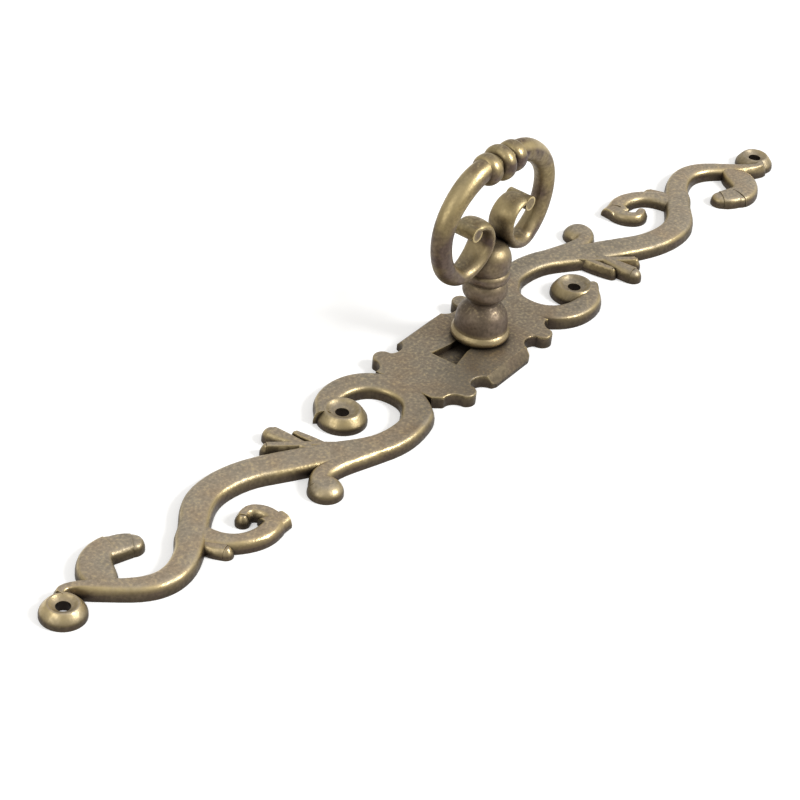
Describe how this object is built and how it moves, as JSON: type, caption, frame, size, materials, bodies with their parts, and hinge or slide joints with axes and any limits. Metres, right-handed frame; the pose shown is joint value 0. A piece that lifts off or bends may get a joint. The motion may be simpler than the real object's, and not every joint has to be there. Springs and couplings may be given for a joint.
{
  "type": "keyhole escutcheon",
  "caption": "Long scrollwork keyhole escutcheon with an upright key-shaped pull fixed in its centre plate, nailed to a drawer or door.",
  "frame": {"origin": "middle of the centre plate's back face", "axes": "+X along the plate, +Y across it, +Z out of the furniture, towards the bow of the key"},
  "size_m": [0.209, 0.0236, 0.0417],
  "materials": {
    "plate_brass": "aged, brown patina with rubbed edges",
    "key_brass": "aged, brown patina with rubbed edges"
  },
  "bodies": {
    "root": {"escutcheon_plate": "plate_brass", "key_pull": "key_brass"}
  },
  "joints": []
}
